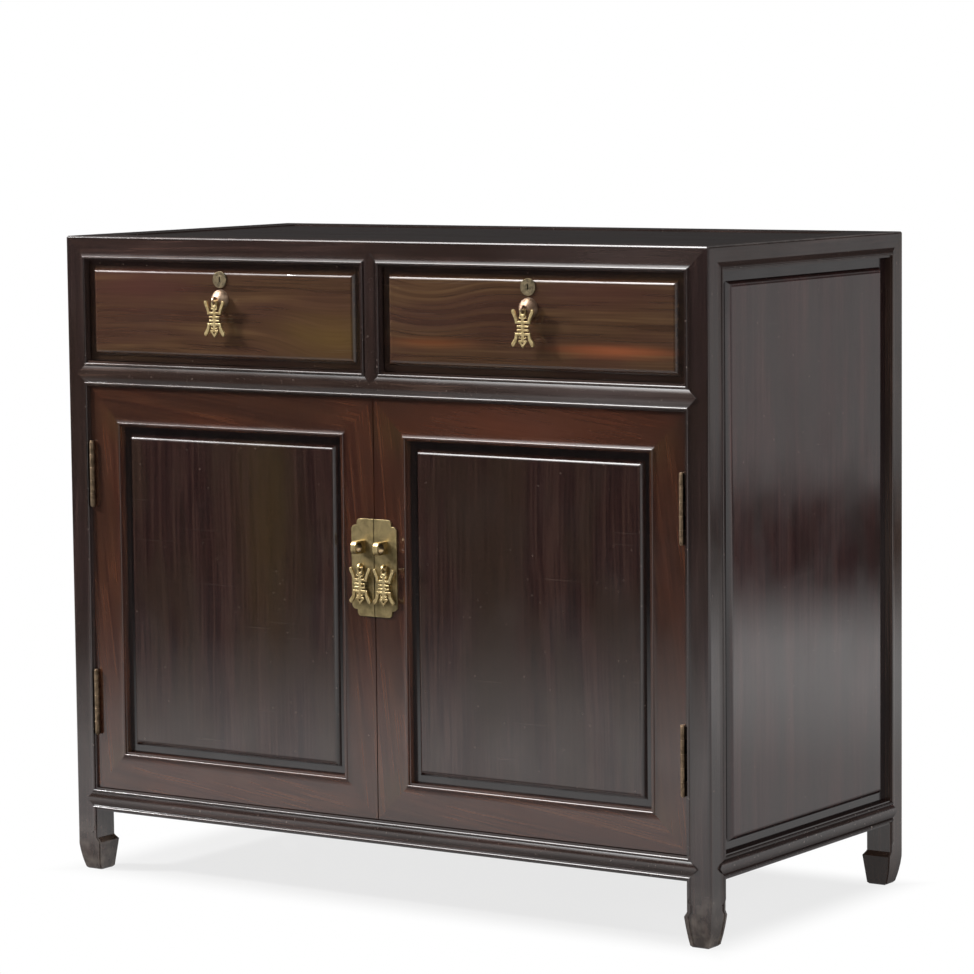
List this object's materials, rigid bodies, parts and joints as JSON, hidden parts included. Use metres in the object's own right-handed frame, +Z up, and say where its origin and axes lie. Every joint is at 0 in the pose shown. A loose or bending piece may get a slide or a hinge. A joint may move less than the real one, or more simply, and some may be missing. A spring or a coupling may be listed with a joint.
{
  "type": "credenza",
  "caption": "Hardwood side cabinet with drawers over hinged doors, square posts on horse-hoof feet, fielded panels and brass pendant pulls.",
  "frame": {"origin": "Middle of the bounding box, on the floor under the feet", "axes": "X along the width with the right door on +X, Y from front to back with the doors and drawers on the -Y side, Z up"},
  "size_m": [0.875, 0.4474, 0.748],
  "materials": {
    "frame_wood": "dark polished hardwood, waxed, worn on the arrises",
    "side_panel_wood": "dark polished hardwood with straight grain",
    "door_frame_wood": "reddish brown polished hardwood",
    "door_panel_wood": "dark aubergine brown polished hardwood with fine upright grain",
    "drawer_front_wood": "golden brown polished hardwood with figured grain",
    "inner_wood": "plain unpolished board",
    "pull_brass": "polished antique brass",
    "plate_brass": "worn antique brass with dull patches",
    "hinge_brass": "dull brass",
    "lock_metal": "dark dull metal"
  },
  "bodies": {
    "carcass": {"post_front_left": "frame_wood", "post_front_right": "frame_wood", "post_back_left": "frame_wood", "post_back_right": "frame_wood", "top_rail_front": "frame_wood", "top_rail_back": "frame_wood", "top_panel": "side_panel_wood", "mid_rail_front": "frame_wood", "drawer_muntin": "frame_wood", "bottom_rail_front": "frame_wood", "bottom_rail_back": "frame_wood", "top_rail_left": "frame_wood", "top_rail_right": "frame_wood", "bottom_rail_left": "frame_wood", "bottom_rail_right": "frame_wood", "side_panel_left": "side_panel_wood", "side_panel_right": "side_panel_wood", "back_panel": "inner_wood", "bottom_board": "inner_wood", "drawer_board": "inner_wood", "shelf": "inner_wood", "side_cleats": "inner_wood", "hinge_post_leaves": "hinge_brass", "hinge_pins": "hinge_brass"},
    "drawer_right": {"drawer_right_front": "drawer_front_wood", "drawer_right_sides": "inner_wood", "drawer_right_back": "inner_wood", "drawer_right_bottom": "inner_wood", "drawer_right_lock_case": "lock_metal", "drawer_right_pull_boss": "plate_brass"},
    "drawer_left": {"drawer_left_front": "drawer_front_wood", "drawer_left_sides": "inner_wood", "drawer_left_back": "inner_wood", "drawer_left_bottom": "inner_wood", "drawer_left_lock_case": "lock_metal", "drawer_left_pull_boss": "plate_brass"},
    "lock_right": {"drawer_right_lock_plug": "plate_brass"},
    "lock_left": {"drawer_left_lock_plug": "plate_brass"},
    "drawer_pull_right": {"drawer_right_pendant": "pull_brass"},
    "drawer_pull_left": {"drawer_left_pendant": "pull_brass"},
    "door_right": {"door_right_stile_hinge": "door_frame_wood", "door_right_stile_meeting": "door_frame_wood", "door_right_rail_top": "door_frame_wood", "door_right_rail_bottom": "door_frame_wood", "door_right_panel": "door_panel_wood", "door_right_hinge_leaves": "hinge_brass", "door_right_face_plate": "plate_brass", "door_right_lug": "plate_brass", "door_right_pull_eye": "plate_brass"},
    "door_left": {"door_left_stile_hinge": "door_frame_wood", "door_left_stile_meeting": "door_frame_wood", "door_left_rail_top": "door_frame_wood", "door_left_rail_bottom": "door_frame_wood", "door_left_panel": "door_panel_wood", "door_left_hinge_leaves": "hinge_brass", "door_left_face_plate": "plate_brass", "door_left_lug": "plate_brass", "door_left_pull_eye": "plate_brass"},
    "door_pull_right": {"door_right_pendant": "pull_brass"},
    "door_pull_left": {"door_left_pendant": "pull_brass"}
  },
  "joints": [
    {"name": "drawer_left_slide", "type": "slide", "parent": "carcass", "child": "drawer_left", "axis": [0, -1, 0], "range_m": [0, 0.28]},
    {"name": "lock_left_turn", "type": "hinge", "parent": "drawer_left", "child": "lock_left", "pos_m": [-0.2095, -0.20525, 0.701], "axis": [0, -1, 0], "range_deg": [0, 90]},
    {"name": "drawer_pull_left_swing", "type": "hinge", "parent": "drawer_left", "child": "drawer_pull_left", "pos_m": [-0.2095, -0.21655, 0.6769], "axis": [-1, 0, 0], "range_deg": [-12, 90]},
    {"name": "door_left_swing", "type": "hinge", "parent": "carcass", "child": "door_left", "pos_m": [-0.4016, -0.20665, 0.3365], "axis": [0, 0, -1], "range_deg": [0, 170]},
    {"name": "door_pull_left_swing", "type": "hinge", "parent": "door_left", "child": "door_pull_left", "pos_m": [-0.0162, -0.20915, 0.3834], "axis": [-1, 0, 0], "range_deg": [-3, 90]},
    {"name": "drawer_right_slide", "type": "slide", "parent": "carcass", "child": "drawer_right", "axis": [0, -1, 0], "range_m": [0, 0.28]},
    {"name": "lock_right_turn", "type": "hinge", "parent": "drawer_right", "child": "lock_right", "pos_m": [0.2095, -0.20525, 0.701], "axis": [0, 1, 0], "range_deg": [0, 90]},
    {"name": "drawer_pull_right_swing", "type": "hinge", "parent": "drawer_right", "child": "drawer_pull_right", "pos_m": [0.2095, -0.21655, 0.6769], "axis": [-1, 0, 0], "range_deg": [-12, 90]},
    {"name": "door_right_swing", "type": "hinge", "parent": "carcass", "child": "door_right", "pos_m": [0.4016, -0.20665, 0.3365], "axis": [0, 0, 1], "range_deg": [0, 170]},
    {"name": "door_pull_right_swing", "type": "hinge", "parent": "door_right", "child": "door_pull_right", "pos_m": [0.0162, -0.20915, 0.3834], "axis": [-1, 0, 0], "range_deg": [-3, 90]}
  ]
}
